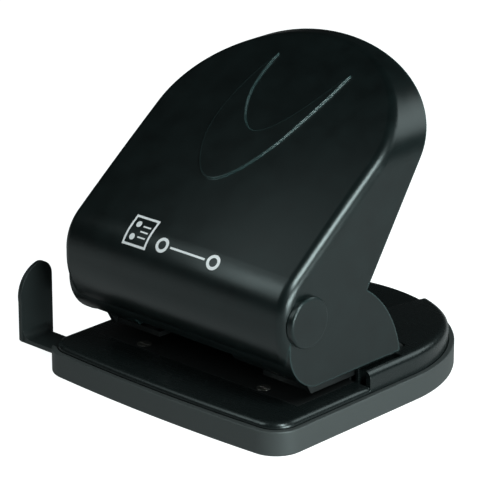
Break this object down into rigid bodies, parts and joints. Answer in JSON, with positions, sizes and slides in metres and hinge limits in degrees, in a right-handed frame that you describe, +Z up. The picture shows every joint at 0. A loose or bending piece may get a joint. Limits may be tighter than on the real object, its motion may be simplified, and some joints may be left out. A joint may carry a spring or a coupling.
{
  "type": "hole punch",
  "caption": "Desk hole punch with a wedge-shaped lever handle, sprung punch pins in a steel frame, a sliding paper guide and a lift-off chip tray.",
  "frame": {"origin": "on the table surface, under the middle of the base's width and about the middle of its depth", "axes": "+X to the right seen from the paper side, +Y to the back, away from the paper, +Z up"},
  "size_m": [0.1357, 0.1348, 0.1209],
  "materials": {
    "tray_plastic": "fine matte moulded",
    "cover_plastic": "polished moulded",
    "handle_plastic": "satin moulded",
    "guide_plastic": "satin moulded",
    "zinc_plated_steel": "pressed and zinc plated",
    "black_coated_steel": "pressed and coated black",
    "ground_steel": "ground",
    "spring_steel": "drawn wire",
    "screw_steel": "zinc plated"
  },
  "bodies": {
    "tray": {"chip_tray": "tray_plastic"},
    "base": {"base_cover": "cover_plastic", "die_plate": "black_coated_steel", "frame_side_right": "black_coated_steel", "frame_side_left": "black_coated_steel", "pin_guide": "black_coated_steel", "pivot_shaft": "ground_steel", "shaft_clips": "spring_steel", "frame_screws": "screw_steel", "die_plate_screws": "screw_steel", "guide_detent_spring": "spring_steel", "return_spring_left": "spring_steel", "return_spring_right": "spring_steel"},
    "handle": {"handle_shell": "handle_plastic", "lever_bracket": "zinc_plated_steel", "press_bar": "ground_steel", "lever_screws": "screw_steel", "pivot_cap_right": "handle_plastic", "pivot_plug_left": "handle_plastic"},
    "pin_left": {"punch_pin_left": "ground_steel", "pin_clip_left": "spring_steel"},
    "pin_right": {"punch_pin_right": "ground_steel", "pin_clip_right": "spring_steel"},
    "guide": {"paper_guide": "guide_plastic"}
  },
  "joints": [
    {"name": "tray_release", "type": "slide", "parent": "tray", "child": "base", "axis": [0, 0, 1], "range_m": [0, 0.02]},
    {"name": "handle_press", "type": "hinge", "parent": "base", "child": "handle", "pos_m": [0, -0.047, 0.0456], "axis": [-1, 0, 0], "range_deg": [0, 11.5], "stiffness_Nm_per_rad": 2.4, "springref_deg": -14.32},
    {"name": "pin_left_slide", "type": "slide", "parent": "base", "child": "pin_left", "axis": [0, 0, -1], "range_m": [0, 0.00403], "deforming": ["return_spring_left"]},
    {"name": "pin_right_slide", "type": "slide", "parent": "base", "child": "pin_right", "axis": [0, 0, -1], "range_m": [0, 0.00403], "deforming": ["return_spring_right"]},
    {"name": "guide_slide", "type": "slide", "parent": "base", "child": "guide", "axis": [-1, 0, 0], "range_m": [0, 0.0745]}
  ],
  "couplings": [
    {"joint": "pin_left_slide", "follows": "handle_press", "m_per_rad": 0.019966},
    {"joint": "pin_right_slide", "follows": "handle_press", "m_per_rad": 0.019966}
  ]
}
